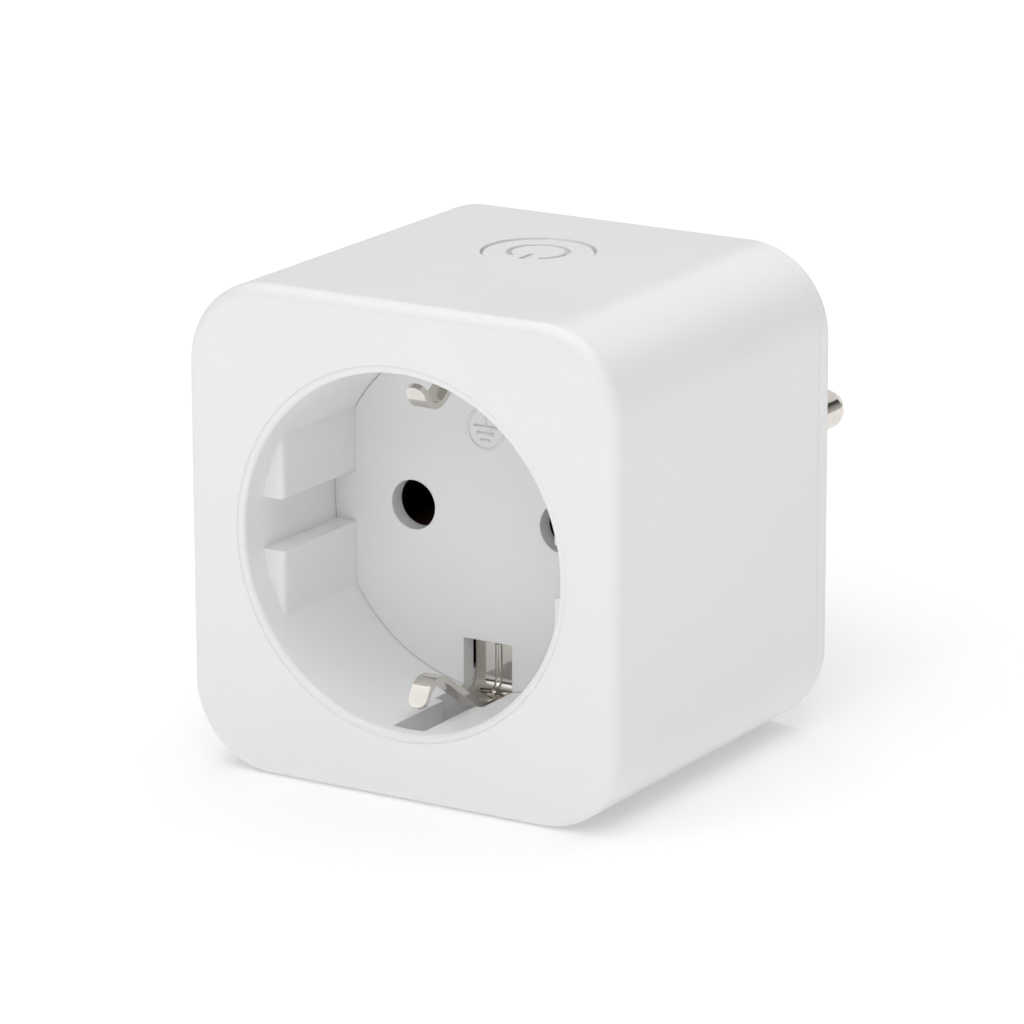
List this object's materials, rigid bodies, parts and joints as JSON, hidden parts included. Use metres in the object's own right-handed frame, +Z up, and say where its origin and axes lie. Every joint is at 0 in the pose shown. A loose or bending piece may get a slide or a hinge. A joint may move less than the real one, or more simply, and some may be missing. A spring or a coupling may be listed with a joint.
{
  "type": "smart plug",
  "caption": "Cube-shaped pass-through smart plug: type F socket recess in front, type E/F plug with two round pins behind, round power button on top.",
  "frame": {"origin": "middle of the underside of the whole plug's bounding box", "axes": "+Z up, the socket faces -Y, the plug pins point along +Y, X runs across"},
  "size_m": [0.054, 0.0794, 0.055],
  "materials": {
    "white_plastic": "moulded plastic, fine satin gloss",
    "nickel": "nickel plated, polished",
    "contact_bronze": "phosphor bronze strip",
    "screw_steel": "zinc plated",
    "board_green": "solder mask",
    "copper": "bare copper",
    "relay_plastic": "moulded, matte",
    "soft_iron": "bright iron",
    "capacitor_yellow": "cast case",
    "can_aluminium": "sleeved can",
    "ferrite": "sintered ferrite",
    "varistor_blue": "dipped coating",
    "resistor_body": "lacquer",
    "chip_black": "moulded package",
    "shield_metal": "tinned sheet",
    "led_lens": "clear lens",
    "light_guide": "clear acrylic"
  },
  "bodies": {
    "plug_body": {"front_housing": "white_plastic", "rear_cover": "white_plastic", "housing_screws": "screw_steel", "socket_well": "white_plastic", "socket_floor": "white_plastic", "line_contact": "contact_bronze", "neutral_contact": "contact_bronze", "earth_bridge": "nickel", "plug_earth_strip_bottom": "nickel", "plug_earth_strip_top": "nickel", "earth_rivets": "nickel", "earth_pin_sleeve": "nickel", "plug_boss": "white_plastic", "pin_carrier": "white_plastic", "plug_pin_line": "nickel", "plug_pin_neutral": "nickel", "power_board": "board_green", "line_input_bar": "copper", "line_output_bar": "copper", "neutral_bar": "copper", "relay_case": "relay_plastic", "relay_base": "relay_plastic", "relay_coil": "copper", "relay_yoke": "soft_iron", "relay_fixed_contact": "copper", "relay_pins": "copper", "safety_capacitor": "capacitor_yellow", "filter_capacitors": "can_aluminium", "power_inductor": "ferrite", "fuse_resistor": "resistor_body", "varistor": "varistor_blue", "rectifier": "chip_black", "metering_chip": "chip_black", "control_board": "board_green", "board_header": "chip_black", "wifi_board": "board_green", "wifi_shield": "shield_metal", "switch_body": "chip_black", "status_led": "led_lens"},
    "button": {"button_cap": "white_plastic", "light_guide": "light_guide"},
    "plunger": {"switch_plunger": "chip_black"},
    "upper_earth_spring": {"earth_clip_top": "nickel"},
    "lower_earth_spring": {"earth_clip_bottom": "nickel"},
    "armature": {"relay_armature": "soft_iron"}
  },
  "joints": [
    {"name": "button_press", "type": "slide", "parent": "plug_body", "child": "button", "axis": [0, 0, -1], "range_m": [0, 0.0005], "stiffness_N_per_m": 600, "springref_m": -0.0015},
    {"name": "switch_press", "type": "slide", "parent": "plug_body", "child": "plunger", "axis": [0, 0, -1], "range_m": [0, 0.0005]},
    {"name": "upper_earth_flex", "type": "hinge", "parent": "plug_body", "child": "upper_earth_spring", "pos_m": [0, -0.02165, 0.0483], "axis": [-1, 0, 0], "range_deg": [0, 4], "stiffness_Nm_per_rad": 0.3, "springref_deg": -2.86},
    {"name": "lower_earth_flex", "type": "hinge", "parent": "plug_body", "child": "lower_earth_spring", "pos_m": [0, -0.02165, 0.0067], "axis": [1, 0, 0], "range_deg": [0, 4], "stiffness_Nm_per_rad": 0.3, "springref_deg": -2.86},
    {"name": "armature_pull", "type": "hinge", "parent": "plug_body", "child": "armature", "pos_m": [-0.0095, -0.01395, 0.0132], "axis": [1, 0, 0], "range_deg": [0, 3.5], "stiffness_Nm_per_rad": 0.02, "springref_deg": -2.86}
  ],
  "couplings": [
    {"joint": "switch_press", "follows": "button_press", "ratio": 1}
  ]
}
